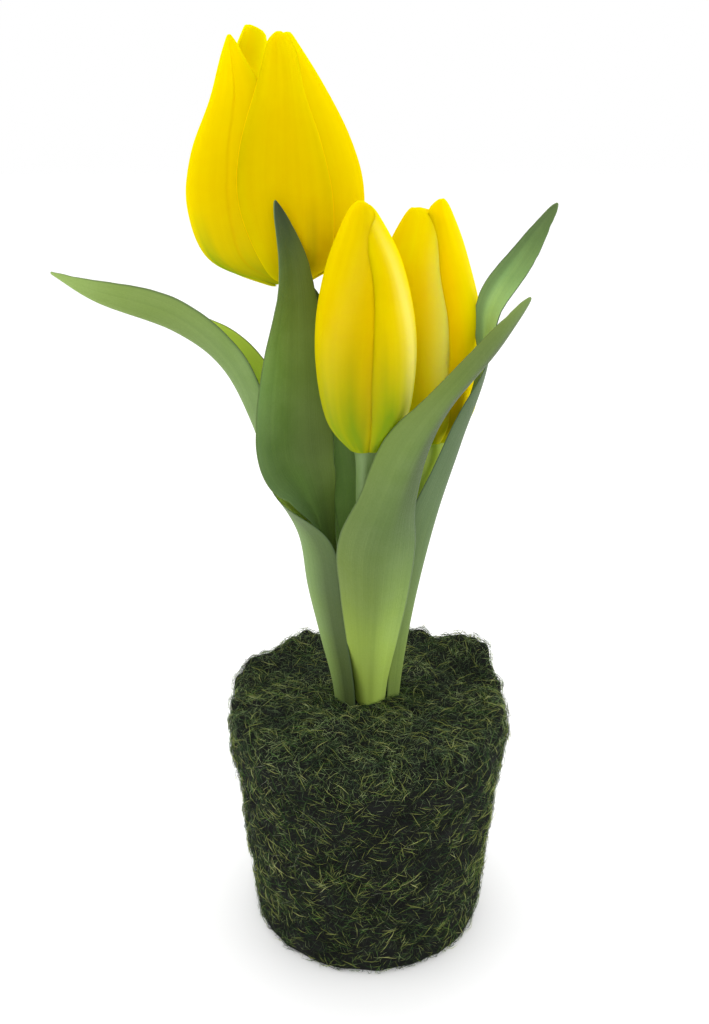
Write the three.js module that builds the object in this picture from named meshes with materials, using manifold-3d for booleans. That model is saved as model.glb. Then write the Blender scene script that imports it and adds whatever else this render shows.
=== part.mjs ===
// Potted tulip: three yellow tulips and their leaves, growing out of a pot-shaped, mossy root ball.
// Millimetres, +Z up. The origin is the centre of the root ball's flat underside; the front is -Y.
import * as THREE from 'three';
import { ParametricGeometry } from 'three/addons/geometries/ParametricGeometry.js';
import { mergeGeometries, mergeVertices } from 'three/addons/utils/BufferGeometryUtils.js';
import Module from 'manifold-3d';

const wasm = await Module();
wasm.setup();

// ---- driving dimensions -------------------------------------------------------------------------

const fitGap = 0.35;          // clearance between pieces that touch

const ball = {
  topRadius: 45,
  footRadius: 37,
  height: 78.4,
  rimRound: 3.6,              // how far the rounded rim reaches in and down
  footRound: 5,
  around: 51,
  sideSteps: 10,
  cornerSteps: 3,
  topRings: 6,
};

// The lumps in the root ball's skin: crossed waves, by height, waves per mm and start, along X, Y, Z.
const lumps = [
  { height: 0.8, turns: [0.21, 0.17, 0.19], starts: [1.1, -0.4, 2.0] },
  { height: 0.9, turns: [0.47, 0.52, 0.44], starts: [0.3, 1.9, 0.8] },
  { height: 0.65, turns: [0.93, 0.88, 0.81], starts: [2.2, 0.6, 1.3] },
];

const stemRadius = 3.1;
const stemSides = 12;
const stemSteps = 12;
const stemNeckStart = 7;      // a stem is in line with its bloom from this far below it,
const stemNeck = 1;           // and ends this far up inside it

const leafThickness = 0.9;
const leafColumns = 8;
const leafRows = 24;
const leafKeelRound = 0.35;   // 0 folds a leaf to a sharp V, larger rounds its keel
const leafWaveShift = 1.7;    // how far the waves of a leaf's two edges are out of step

const petalThickness = 0.8;
const petalColumns = 6;
const petalRows = 10;
const petalFootAngle = 48;    // degrees to each side of the midrib, where it grows from the stem
const petalAngles = [63, 54]; // and the most that a petal of the outer and inner whorl reaches
const petalFootEnd = 0.17;    // the share of its height where a petal has spread out from its foot
const petalCrown = 0.5;       // how far the midrib stands out past the petal's edges
const petalsPerWhorl = 3;
const innerWhorlDepth = 2.75; // how far the inner whorl lies inside the outer one
const innerWhorlEnd = 0.33;   // the share of its height, from the tip, where that starts to fade
const lapFootEnd = 0.11;      // the shares of its height, from foot and tip, where the lap fades in
const lapTipEnd = 0.2;

// A bloom's heart: outlines of its pistil and of a stamen, as [radius, height] from the axis at the
// foot to the axis at the top.
const heart = {
  pistil: [[0, 0], [1.1, 0], [1.6, 4.3], [1.4, 13.6], [3, 15.6], [2.7, 17], [0, 16]],
  stamen: [[0, 0], [0.55, 0], [0.55, 7.5], [1.15, 9.3], [1.15, 14.7], [0, 16.5]],
  pistilSides: 9,
  stamenSides: 5,
  stamenLean: 14.5,
  stamenFoot: [0.8, 0, 0.6],
  stamens: 6,
};

// Each bloom: the foot and top of its axis, its widest radius, the turn of its first outer petal,
// the petals' half width, how far their edges lap, and its outline: the radius, as a share of the
// widest, at each of bloomHeights. One row for each petal, outer whorl first:
// [how far its tip opens out, its length over the bloom's, how far its tip swings round in degrees].
const blooms = [
  {
    name: 'tall',
    foot: [-22.4, 11, 205.4],
    top: [-28.5, 12, 271],
    belly: 22.9,
    turn: -80,
    halfWidth: 16.4,
    lap: 0.05,
    radii: [0.84, 1.0, 0.9, 0.64],
    petals: [[7, 0.98, 26], [6, 0.99, 0], [5, 1.0, -10], [7, 0.97, 8], [5, 1.0, 0], [9, 0.97, -8]],
  },
  {
    name: 'front',
    foot: [-1.1, -15, 164.5],
    top: [-2.2, -15.5, 229.5],
    belly: 13,
    turn: -142,
    halfWidth: 14.2,
    lap: 0.72,
    radii: [0.78, 0.98, 0.95, 0.64],
    petals: [[1.2, 1.0, 12], [1.6, 0.97, 0], [1.4, 0.98, 0], [1, 0.84, 0], [1, 0.84, 0], [1, 0.84, 0]],
  },
  {
    name: 'right',
    foot: [19.8, 8, 160],
    top: [15.4, 8.5, 228],
    belly: 13.4,
    turn: -135,
    halfWidth: 14.2,
    lap: 0.72,
    radii: [0.8, 0.99, 0.95, 0.66],
    petals: [[2.2, 0.97, 6], [2.2, 1.0, 0], [2, 0.97, 0], [1, 0.84, 0], [1, 0.84, 0], [1, 0.84, 0]],
  },
];

// Shares of a bloom's height, from foot to tip, where its outline is given, and the petals' widths
// there as shares of the widest.
const bloomHeights = [0, 0.13, 0.36, 0.58, 0.80, 1];
const petalWidths = [0.45, 0.84, 1.0, 0.90, 0.56, 0.05];

// Each stem runs from inside the root ball through these points and on to the foot of its bloom.
const stems = [
  { name: 'tall', points: [[-4, 7, 57], [-4.4, 7.1, 80], [-8.8, 8.4, 115], [-15.5, 9.8, 160]] },
  { name: 'front', points: [[0.6, -1.4, 57], [0.5, -1.6, 80], [-0.4, -6, 110], [-1, -11.4, 138]] },
  { name: 'right', points: [[4.9, 7.1, 57], [5, 7.3, 80], [8.8, 9, 105], [14.4, 9.4, 135]] },
];

// Each leaf: how far its hollow side looks up, its waves, and rows from its buried foot to its tip:
// [keel x, y, z, the widths of its two halves, the way its hollow side looks in degrees from +X,
// fold of each half in degrees].
const leaves = [
  {
    name: 'far_left',
    lift: 0.5,
    waves: 3.5,
    wave: 0.9,
    rows: [
      [-9.9, 1.4, 60, 6.9, 4.3, -5, 40],
      [-10.9, 0.6, 80, 7.8, 4.8, -5, 40],
      [-15.4, -1.5, 100, 10.2, 6.2, 0, 46],
      [-19.3, -3.6, 118, 11.4, 7, 3, 48],
      [-21.5, -5, 135, 12.2, 8, -2, 46],
      [-27.6, -4.8, 151, 7.4, 6.8, -33, 34],
      [-33.2, -3, 168, 8.6, 9.6, -12, 44],
      [-41.2, -3, 184.5, 12, 12.8, 0, 46],
      [-54, -4.4, 195.6, 10.4, 10, 20, 45],
      [-74, -5, 203.8, 7, 6, 26, 42],
      [-86, -5, 210.8, 0.9, 0.9, 20, 30],
    ],
  },
  {
    name: 'upright',
    lift: 0,
    waves: 4,
    wave: 0.6,
    rows: [
      [-7.9, 1.2, 60, 3.1, 3.6, -20, 45],
      [-8.2, 1, 80, 3.4, 3.8, -20, 45],
      [-12.4, -0.8, 110, 5, 5, -20, 42],
      [-14.8, -2.4, 135, 4.6, 5.6, -30, 35],
      [-19.4, -5, 150, 8.6, 10.1, -52, 26],
      [-22.8, -8, 163, 13.3, 13.2, -58, 20],
      [-21.8, -8.6, 190, 12, 9.6, -52, 18],
      [-21.2, -12, 212, 5.6, 5.6, -50, 20],
      [-24.5, -15.6, 230, 0.9, 0.9, -50, 15],
    ],
  },
  {
    name: 'front',
    lift: 0.2,
    waves: 3,
    wave: 0.7,
    rows: [
      [0.5, -6.7, 60, 6.3, 6.3, 90, 46],
      [0.4, -7.4, 80, 6.8, 6.5, 90, 42],
      [0.7, -12.6, 101, 8.4, 8.4, 90, 24],
      [1.2, -16.8, 119, 11, 11, 90, 22],
      [2, -20, 135, 12.4, 12.4, 92, 24],
      [5.4, -24.4, 150, 9, 9, 95, 32],
      [11, -27.4, 166.5, 6.6, 7, 100, 36],
      [18.6, -27.6, 180, 5.6, 5, 105, 38],
      [30, -25, 193.4, 4.2, 3.6, 110, 34],
      [40.6, -20, 206.5, 0.9, 0.9, 110, 20],
    ],
  },
  {
    name: 'right',
    lift: 0.1,
    waves: 3.5,
    wave: 0.7,
    rows: [
      [9.1, 0.3, 60, 4.2, 4.3, 165, 45],
      [9.5, -0.3, 80, 4.4, 4.1, 165, 45],
      [13, -4, 110, 6.4, 7.6, 163, 44],
      [18.8, -6, 140, 7.4, 10.4, 158, 36],
      [25.4, -7, 164, 6.2, 8.8, 152, 24],
      [31.4, -4.4, 183, 4.2, 6.8, 170, 20],
      [34, 1.4, 201, 3.2, 7.2, 235, 22],
      [40.6, 3.8, 216, 2.7, 5.6, 275, 22],
      [50.2, 4, 228, 0.9, 0.9, 275, 15],
    ],
  },
  {
    name: 'middle',
    lift: 0,
    waves: 3,
    wave: 0.5,
    rows: [
      [0.4, 2.9, 60, 3.8, 3.8, -90, 8],
      [0.3, 2.9, 80, 4, 4, -90, 8],
      [-0.8, 3.2, 110, 4.8, 4.8, -90, 16],
      [-2.8, 3.8, 135, 7.2, 7.2, -90, 20],
      [-3.6, 3.4, 150, 8.6, 8.6, -90, 22],
      [-7, 2.4, 170, 7.6, 7.6, -88, 22],
      [-13, 0, 194, 4.4, 4.4, -85, 20],
      [-18.5, -3.6, 210, 0.9, 0.9, -80, 15],
    ],
  },
];

// ---- materials ----------------------------------------------------------------------------------

const petalFinish = { color: 0xf4d400, roughness: 0.5, metalness: 0 };
const leafFinish = { color: 0x5f8148, roughness: 0.6, metalness: 0 };
const stemFinish = { color: 0x8fae6a, roughness: 0.6, metalness: 0 };
const heartFinish = { color: 0xa8a23a, roughness: 0.7, metalness: 0 };
const mossFinish = { color: 0x2f3a1c, roughness: 0.95, metalness: 0 };

const plant = new THREE.Group();

function add(name, geometry, finish) {
  const mesh = new THREE.Mesh(geometry, new THREE.MeshStandardMaterial(finish));
  mesh.name = name;
  plant.add(mesh);
}

// ---- solids -------------------------------------------------------------------------------------

// Joins a geometry's patches into one closed skin and drops the triangles that collapse at a pole.
function closedSkin(...patches) {
  for (const patch of patches) {
    patch.deleteAttribute('normal');
    patch.deleteAttribute('uv');
  }
  const skin = mergeVertices(mergeGeometries(patches));
  const index = skin.getIndex().array;
  const kept = [];
  for (let i = 0; i < index.length; i += 3) {
    const [a, b, c] = index.slice(i, i + 3);
    if (a !== b && b !== c && c !== a) kept.push(a, b, c);
  }
  skin.setIndex(kept);
  return skin;
}

function toManifold(geometry) {
  const vertProperties = new Float32Array(geometry.getAttribute('position').array);
  const triVerts = new Uint32Array(geometry.getIndex().array);
  return new wasm.Manifold(new wasm.Mesh({ numProp: 3, vertProperties, triVerts }));
}

function toGeometry(solid) {
  const mesh = solid.getMesh();
  const geometry = new THREE.BufferGeometry();
  geometry.setAttribute('position', new THREE.BufferAttribute(mesh.vertProperties, 3));
  geometry.setIndex(new THREE.BufferAttribute(mesh.triVerts, 1));
  return geometry;
}

// Turns an outline of [radius, height] about Z.
function latheSkin(outline, around) {
  const lathe = new THREE.LatheGeometry(outline.map(([r, z]) => new THREE.Vector2(r, z)), around);
  lathe.rotateX(Math.PI / 2);
  return closedSkin(lathe);
}

// A thin closed blade. middle(u, v) gives { point, normal } on its middle surface, with u and v from
// 0 to 1. Both faces and the rim share one grid, and both faces are split into triangles alike.
function bladeGeometry(middle, columns, rows, thickness) {
  const snap = (share, steps) => Math.round(share * steps) / steps;
  const place = (u, v, side, target) => {
    const { point, normal } = middle(snap(u, columns), snap(v, rows));
    target.copy(point).addScaledVector(normal, (side * thickness) / 2);
  };
  const rimSteps = 2 * (columns + rows);
  const onRim = (share) => {
    const step = Math.round(share * rimSteps) % rimSteps;
    if (step <= columns) return [step / columns, 0];
    if (step <= columns + rows) return [1, (step - columns) / rows];
    if (step <= 2 * columns + rows) return [(2 * columns + rows - step) / columns, 1];
    return [0, (rimSteps - step) / rows];
  };
  const face = new ParametricGeometry((u, v, target) => place(u, v, 1, target), columns, rows);
  const back = new ParametricGeometry((v, u, target) => place(u, v, -1, target), rows, columns);
  const rim = new ParametricGeometry((share, side, target) => {
    const [u, v] = onRim(share);
    place(u, v, 2 * side - 1, target);
  }, rimSteps, 1);
  return closedSkin(face, back, rim);
}

// ---- root ball ----------------------------------------------------------------------------------

function lumpAt(point) {
  const crossed = ({ turns, starts }) => point.toArray()
    .reduce((wave, along, axis) => wave * Math.sin(turns[axis] * along + starts[axis]), 1);
  return lumps.reduce((sum, lump) => sum + lump.height * crossed(lump), 0);
}

function rootBallSolid() {
  const { topRadius, footRadius, height, rimRound, footRound } = ball;
  const { around, sideSteps, cornerSteps, topRings } = ball;
  const below = -footRound;
  const outline = [[0, below], [footRadius - footRound, below]];
  const cornerAt = (r, z, round, fromAngle) => {
    for (let step = 0; step <= cornerSteps; step += 1) {
      const angle = fromAngle + (0.5 * Math.PI * step) / cornerSteps;
      outline.push([r + round * Math.cos(angle), z + round * Math.sin(angle)]);
    }
  };
  cornerAt(footRadius - footRound, footRound, footRound, -0.5 * Math.PI);
  for (let step = 1; step < sideSteps; step += 1) {
    outline.push([
      THREE.MathUtils.lerp(footRadius, topRadius, step / sideSteps),
      THREE.MathUtils.lerp(footRound, height - rimRound, step / sideSteps),
    ]);
  }
  cornerAt(topRadius - rimRound, height - rimRound, rimRound, 0);
  for (let ring = topRings - 1; ring >= 0; ring -= 1) {
    outline.push([((topRadius - rimRound) * ring) / topRings, height]);
  }

  const skin = latheSkin(outline, around);
  const position = skin.getAttribute('position');
  const point = new THREE.Vector3();
  const outward = new THREE.Vector3();
  const middle = new THREE.Vector3(0, 0, height / 2);
  for (let i = 0; i < position.count; i += 1) {
    point.fromBufferAttribute(position, i);
    if (point.z <= 0) continue;
    outward.subVectors(point, middle).normalize();
    point.addScaledVector(outward, lumpAt(point));
    position.setXYZ(i, point.x, point.y, point.z);
  }
  const under = new THREE.BoxGeometry(4 * topRadius, 4 * topRadius, 4 * topRadius);
  under.translate(0, 0, -2 * topRadius);
  return toManifold(skin).subtract(toManifold(closedSkin(under)));
}

// ---- stems --------------------------------------------------------------------------------------

// Where a bloom stands: its foot, its axis, its height and the turn that sets +Z along its axis.
function standOf(bloom) {
  const foot = new THREE.Vector3(...bloom.foot);
  const axis = new THREE.Vector3(...bloom.top).sub(foot);
  const height = axis.length();
  axis.normalize();
  const upright = new THREE.Quaternion().setFromUnitVectors(new THREE.Vector3(0, 0, 1), axis);
  return { foot, axis, height, upright };
}

function stemGeometry(path, radius) {
  const section = new THREE.Shape();
  section.absarc(0, 0, radius, 0, 2 * Math.PI);
  const tube = new THREE.ExtrudeGeometry(section, {
    steps: stemSteps,
    curveSegments: stemSides / 2,
    extrudePath: path,
  });
  return closedSkin(tube);
}

// A stem's path, which ends along the bloom's axis. It may start lower, to cut a hole with room.
function stemPath(stem, drop = 0) {
  const { foot, axis } = standOf(blooms.find(({ name }) => name === stem.name));
  const points = stem.points.map((point) => new THREE.Vector3(...point));
  points[0].z -= drop;
  points.push(foot.clone().addScaledVector(axis, -stemNeckStart));
  points.push(foot.clone().addScaledVector(axis, stemNeck));
  return new THREE.CatmullRomCurve3(points);
}

// ---- leaves -------------------------------------------------------------------------------------

// A leaf's middle surface. For the slot that it stands in, it is spread and its foot is dropped.
function leafSurface(leaf, spread = 0) {
  const points = leaf.rows.map(([x, y, z]) => new THREE.Vector3(x, y, z));
  points[0].z -= spread;
  const spine = new THREE.CatmullRomCurve3(points, false, 'catmullrom');
  const halves = new THREE.CatmullRomCurve3(
    leaf.rows.map(([, , , left, right]) => new THREE.Vector3(left, right, 0)), false, 'catmullrom');
  const turns = new THREE.CatmullRomCurve3(
    leaf.rows.map(([, , , , , looks, fold]) => new THREE.Vector3(looks, fold, 0)), false, 'catmullrom');
  const keelRise = Math.sqrt(1 + leafKeelRound ** 2) - leafKeelRound;

  const pointAt = (u, v) => {
    const across = 2 * u - 1;
    const along = spine.getTangent(v);
    const { x: left, y: right } = halves.getPoint(v);
    const { x: looks, y: fold } = turns.getPoint(v);
    const looksAngle = THREE.MathUtils.degToRad(looks);
    const inward = new THREE.Vector3(Math.cos(looksAngle), Math.sin(looksAngle), leaf.lift);
    inward.addScaledVector(along, -inward.dot(along)).normalize();
    const half = (across < 0 ? left : right) + spread;
    const side = new THREE.Vector3().crossVectors(along, inward);
    const rise = (Math.sqrt(across ** 2 + leafKeelRound ** 2) - leafKeelRound) / keelRise;
    const foldAngle = THREE.MathUtils.degToRad(fold);
    const wave = leaf.wave * across ** 2 * Math.sin(Math.PI * v)
      * Math.sin(2 * Math.PI * leaf.waves * v + (across > 0 ? leafWaveShift : 0));
    return spine.getPoint(v)
      .addScaledVector(side, half * across * Math.cos(foldAngle))
      .addScaledVector(inward, half * rise * Math.sin(foldAngle) + wave);
  };
  return (u, v) => ({ point: pointAt(u, v), normal: surfaceNormal(pointAt, u, v) });
}

function leafGeometry(leaf, thickness, spread) {
  return bladeGeometry(leafSurface(leaf, spread), leafColumns, leafRows, thickness);
}

// The unit normal of a surface, from two short steps across it.
function surfaceNormal(pointAt, u, v) {
  const step = 0.002;
  const low = (share) => Math.max(share - step, 0);
  const high = (share) => Math.min(share + step, 1);
  const acrossIt = pointAt(high(u), v).sub(pointAt(low(u), v));
  const alongIt = pointAt(u, high(v)).sub(pointAt(u, low(v)));
  return acrossIt.cross(alongIt).normalize();
}

// ---- blooms -------------------------------------------------------------------------------------

// Reads a list of values given at equal steps, with a smooth curve through them.
function valueAlong(values, share) {
  const curve = new THREE.SplineCurve(values.map((value, i) => new THREE.Vector2(i, value)));
  return curve.getPoint(share).y;
}

function petalSurface(bloom, whorl, number) {
  const { foot, height, upright } = standOf(bloom);
  const [opening, reach, swing] = bloom.petals[whorl * petalsPerWhorl + number];
  const turn = bloom.turn + (360 / petalsPerWhorl) * (number + 0.5 * whorl);
  const depth = whorl * innerWhorlDepth;
  const footRadius = stemRadius + 2 * fitGap;
  const radii = [footRadius, ...bloom.radii.map((share) => share * bloom.belly), opening];

  // radius and height of the petal's midrib, set in from the outer whorl's by its depth
  const outlineAt = (v) => new THREE.Vector2(
    valueAlong(radii, v), valueAlong(bloomHeights, v) * height * reach);
  const midribAt = (v) => {
    const step = 0.01;
    const ends = [Math.max(v - step, 0), Math.min(v + step, 1)].map(outlineAt);
    const along = ends[1].sub(ends[0]).normalize();
    const inset = depth * Math.sin(0.5 * Math.PI * Math.min((1 - v) / innerWhorlEnd, 1));
    return outlineAt(v).add(new THREE.Vector2(-along.y * inset, along.x * inset));
  };
  const pointAt = (u, v) => {
    const across = 2 * u - 1;
    const { x: radius, y: up } = midribAt(v);
    const widestAngle = THREE.MathUtils.degToRad(petalAngles[whorl]);
    const reachAngle = Math.min(bloom.halfWidth * valueAlong(petalWidths, v) / radius, widestAngle);
    const footAngle = THREE.MathUtils.degToRad(petalFootAngle);
    const halfAngle = THREE.MathUtils.lerp(footAngle, reachAngle, Math.min(v / petalFootEnd, 1));
    const angle = THREE.MathUtils.degToRad(turn + swing * v ** 3) + across * halfAngle;
    const lapAlong = Math.min(v / lapFootEnd, 1) * Math.min((1 - v) / lapTipEnd, 1) * (1 - whorl);
    const outward = radius + petalCrown * (1 - across ** 2) + bloom.lap * across * lapAlong;
    const point = new THREE.Vector3(outward * Math.cos(angle), outward * Math.sin(angle), up);
    return point.applyQuaternion(upright).add(foot);
  };
  return (u, v) => ({ point: pointAt(u, v), normal: surfaceNormal(pointAt, u, v) });
}

// The pistil with its spreading stigma, and six stamens fused to its foot.
function heartGeometry(bloom) {
  const { foot, axis, upright } = standOf(bloom);
  foot.addScaledVector(axis, stemNeck + fitGap);
  const placed = (skin) => toManifold(skin.applyQuaternion(upright).translate(...foot.toArray()));
  let solid = placed(latheSkin(heart.pistil, heart.pistilSides));
  for (let i = 0; i < heart.stamens; i += 1) {
    const stamen = latheSkin(heart.stamen, heart.stamenSides);
    stamen.rotateY(THREE.MathUtils.degToRad(heart.stamenLean));
    stamen.translate(...heart.stamenFoot);
    stamen.rotateZ((2 * Math.PI * (i + 0.5)) / heart.stamens);
    solid = solid.add(placed(stamen));
  }
  return toGeometry(solid);
}

// ---- assembly -----------------------------------------------------------------------------------

let soil = rootBallSolid();
for (const stem of stems) {
  soil = soil.subtract(toManifold(stemGeometry(stemPath(stem, fitGap), stemRadius + fitGap)));
}
for (const leaf of leaves) {
  soil = soil.subtract(toManifold(leafGeometry(leaf, leafThickness + 2 * fitGap, fitGap)));
}
add('root_ball', toGeometry(soil), mossFinish);

for (const stem of stems) {
  add(`stem_${stem.name}`, stemGeometry(stemPath(stem), stemRadius), stemFinish);
}
for (const leaf of leaves) {
  add(`leaf_${leaf.name}`, leafGeometry(leaf, leafThickness), leafFinish);
}
for (const bloom of blooms) {
  for (const [whorl, whorlName] of ['outer', 'inner'].entries()) {
    for (let number = 0; number < petalsPerWhorl; number += 1) {
      const surface = petalSurface(bloom, whorl, number);
      const petal = bladeGeometry(surface, petalColumns, petalRows, petalThickness);
      add(`petal_${bloom.name}_${whorlName}_${number + 1}`, petal, petalFinish);
    }
  }
  add(`heart_${bloom.name}`, heartGeometry(bloom), heartFinish);
}

export default plant;
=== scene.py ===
# Potted tulip: three yellow tulips growing out of a pot-shaped, mossy root ball.
# The frame is in metres. The tables below are in millimetres and degrees.
import math

import bmesh
import bpy
from mathutils import Matrix, Vector, noise


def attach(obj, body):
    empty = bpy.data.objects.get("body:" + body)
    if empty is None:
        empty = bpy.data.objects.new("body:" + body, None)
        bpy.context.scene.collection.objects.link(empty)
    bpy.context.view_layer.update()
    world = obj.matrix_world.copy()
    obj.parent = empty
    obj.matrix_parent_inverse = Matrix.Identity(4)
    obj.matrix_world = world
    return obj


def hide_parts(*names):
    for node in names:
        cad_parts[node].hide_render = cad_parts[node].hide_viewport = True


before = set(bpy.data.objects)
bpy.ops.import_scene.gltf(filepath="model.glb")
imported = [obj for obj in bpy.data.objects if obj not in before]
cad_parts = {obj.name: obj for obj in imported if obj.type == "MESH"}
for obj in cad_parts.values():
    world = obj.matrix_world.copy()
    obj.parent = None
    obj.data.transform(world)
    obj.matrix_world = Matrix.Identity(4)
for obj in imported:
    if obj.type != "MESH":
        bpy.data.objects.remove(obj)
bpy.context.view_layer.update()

mm = 0.001
upAxis = Vector((0, 0, 1))

# Helpers: curves


def curveThrough(points, share, pace=0.0, flatEnds=False):
    # pace 0 steps evenly from point to point; 0.5 slows down where the points are close together
    last = len(points) - 1
    place = min(max(share, 0.0), 1.0) * last
    start = min(int(place), last - 1)
    t = place - start
    here, there = points[start], points[start + 1]
    before = points[start - 1] if start > 0 else (here if flatEnds else here * 2 - there)
    after = points[start + 2] if start + 2 <= last else (there if flatEnds else there * 2 - here)

    def step(a, b):
        return (b - a).length ** pace if pace else 1.0

    first, middle, third = step(before, here), step(here, there), step(there, after)
    leaving = ((here - before) / first - (there - before) / (first + middle)
               + (there - here) / middle) * middle
    arriving = ((there - here) / middle - (after - here) / (middle + third)
                + (after - there) / third) * middle
    return (here * (2 * t ** 3 - 3 * t ** 2 + 1) + leaving * (t ** 3 - 2 * t ** 2 + t)
            + there * (3 * t ** 2 - 2 * t ** 3) + arriving * (t ** 3 - t ** 2))


def curveDirection(points, share, pace=0.0):
    low, high = max(share - 0.0005, 0.0), min(share + 0.0005, 1.0)
    return (curveThrough(points, high, pace) - curveThrough(points, low, pace)).normalized()


def mixValue(low, high, share):
    return low + (high - low) * min(max(share, 0.0), 1.0)


# Helpers: objects


def meshFrom(name, bm):
    mesh = bpy.data.meshes.new(name)
    bm.to_mesh(mesh)
    bm.free()
    return mesh


def putInScene(name, data):
    item = bpy.data.objects.new(name, data)
    bpy.context.scene.collection.objects.link(item)
    return item


def newPiece(name, bm, materials, node=None):
    return addPiece(name, meshFrom(name, bm), materials, node)


def addPiece(name, mesh, materials, node=None):
    mesh.materials.clear()
    for material in materials:
        mesh.materials.append(material)
    for polygon in mesh.polygons:
        polygon.use_smooth = True
    piece = putInScene(name, mesh)
    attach(piece, "root")
    if node:
        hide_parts(node)
    return piece


def smoothPiece(piece, levels=1):
    modifier = piece.modifiers.new("smooth", "SUBSURF")
    modifier.levels = modifier.render_levels = levels


# Helpers: nodes


def addNode(tree, kind, **settings):
    node = tree.nodes.new(kind)
    for key, value in settings.items():
        setattr(node, key, value)
    return node


def feed(tree, socket, value):
    # a socket takes either a link or a plain value
    if isinstance(value, bpy.types.NodeSocket):
        tree.links.new(value, socket)
    else:
        socket.default_value = value


def wire(tree, kind, inputs, **settings):
    # inputs: what goes into each socket of the new node, by its label or number
    node = addNode(tree, kind, **settings)
    for socket, value in inputs.items():
        feed(tree, node.inputs[socket], value)
    return node.outputs


def doMath(tree, operation, first, second=0.0):
    return wire(tree, "ShaderNodeMath", {0: first, 1: second}, operation=operation)[0]


def times(tree, first, second):
    return doMath(tree, "MULTIPLY", first, second)


def fitRange(tree, value, low, high, newLow=0.0, newHigh=1.0):
    inputs = {0: value, 1: low, 2: high, 3: newLow, 4: newHigh}
    return wire(tree, "ShaderNodeMapRange", inputs)[0]


def mixColours(tree, share, first, second, blend="MIX"):
    inputs = {0: share, 6: first, 7: second}
    return wire(tree, "ShaderNodeMix", inputs, data_type="RGBA", blend_type=blend)[2]


def layColours(tree, colour, layers):
    # layers: what each one follows, how strong it is, its colour
    for pattern, strength, layer in layers:
        colour = mixColours(tree, times(tree, pattern, strength), colour, rgb(layer))
    return colour


def colourRamp(tree, share, stops):
    node = addNode(tree, "ShaderNodeValToRGB")
    ramp = node.color_ramp
    while len(ramp.elements) < len(stops):
        ramp.elements.new(0.5)
    for element, (place, colour) in zip(ramp.elements, stops):
        element.position = place
        element.color = rgb(colour)
    feed(tree, node.inputs[0], share)
    return node.outputs[0]


def rgb(colour):
    # 0-255 screen values to the linear colour that Blender mixes with
    return tuple(((part / 255 + 0.055) / 1.055) ** 2.4 if part > 10 else part / 255 / 12.92
                 for part in colour) + (1.0,)


def newGroup(name, inputs, outputs):
    # inputs: the label and usual value of each
    tree = bpy.data.node_groups.new(name, "ShaderNodeTree")
    for label, value in inputs.items():
        kind = "NodeSocketVector" if isinstance(value, tuple) else "NodeSocketFloat"
        socket = tree.interface.new_socket(label, in_out="INPUT", socket_type=kind)
        socket.default_value = value
    for label in outputs:
        tree.interface.new_socket(label, in_out="OUTPUT", socket_type="NodeSocketFloat")
    inside, out = addNode(tree, "NodeGroupInput"), addNode(tree, "NodeGroupOutput")
    return tree, inside.outputs, out.inputs


# Helpers: materials


def newMaterial(name, roughness, specular=0.5):
    material = bpy.data.materials.new(name)
    material.use_nodes = True
    tree = material.node_tree
    shader = tree.nodes["Principled BSDF"]
    shader.inputs["Roughness"].default_value = roughness
    shader.inputs["Specular IOR Level"].default_value = specular
    return material, tree, shader


def groupPatterns(tree, group, **inputs):
    # the outputs of a shared effect, by label
    return dict(wire(tree, "ShaderNodeGroup", inputs, node_tree=group).items())


def mottlePatterns(tree, size):
    place = addNode(tree, "ShaderNodeTexCoord").outputs["Object"]
    return groupPatterns(tree, mottleGroup, Vector=place, Size=size)


def bladePatterns(tree, veins, run, mottleSize, margin=0.0):
    # patterns of a petal, leaf or stem. Upward is the share of the way from foot to tip.
    uvMap = addNode(tree, "ShaderNodeUVMap", uv_map="UVMap").outputs[0]
    patterns = groupPatterns(tree, veinGroup, Vector=uvMap, Count=veins, Run=run)
    patterns.update(mottlePatterns(tree, mottleSize))
    if margin:
        patterns.update(groupPatterns(tree, edgeGroup, Vector=uvMap, Width=margin))
    patterns["Upward"] = wire(tree, "ShaderNodeSeparateXYZ", {0: uvMap})[1]
    return patterns


def readValue(tree, name):
    return addNode(tree, "ShaderNodeAttribute", attribute_name=name).outputs["Fac"]


# multiplies a colour by the painted light and shade stored on the mesh
def shadeColour(tree, colour, name="shade"):
    lightness = addNode(tree, "ShaderNodeCombineColor")
    for socket in lightness.inputs:
        feed(tree, socket, readValue(tree, name))
    return mixColours(tree, 1.0, colour, lightness.outputs[0], "MULTIPLY")


def varyRoughness(tree, shader, pattern, low, high):
    feed(tree, shader.inputs["Roughness"], fitRange(tree, pattern, 0.0, 1.0, low, high))


def addRelief(tree, shader, strength, depth, *parts):
    # depth in mm; each part is a pattern and how much of it stands out
    height = 0.0
    for pattern, share in parts:
        height = doMath(tree, "ADD", height, times(tree, pattern, share))
    inputs = {"Strength": strength, "Distance": depth * mm, "Height": height}
    feed(tree, shader.inputs["Normal"], wire(tree, "ShaderNodeBump", inputs)[0])


def patchyMaterial(name, roughness, specular, size, colours, grainStrength, relief):
    # colours: both kinds of patches, and the grain on them
    material, tree, shader = newMaterial(name, roughness, specular)
    skin = mottlePatterns(tree, size)
    dark, pale, grain = colours
    colour = mixColours(tree, skin["Patches"], rgb(dark), rgb(pale))
    colour = layColours(tree, colour, [(skin["Grain"], grainStrength, grain)])
    feed(tree, shader.inputs["Base Color"], colour)
    addRelief(tree, shader, *relief, (skin["Grain"], 1.0))
    return material


# Shared effects

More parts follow.
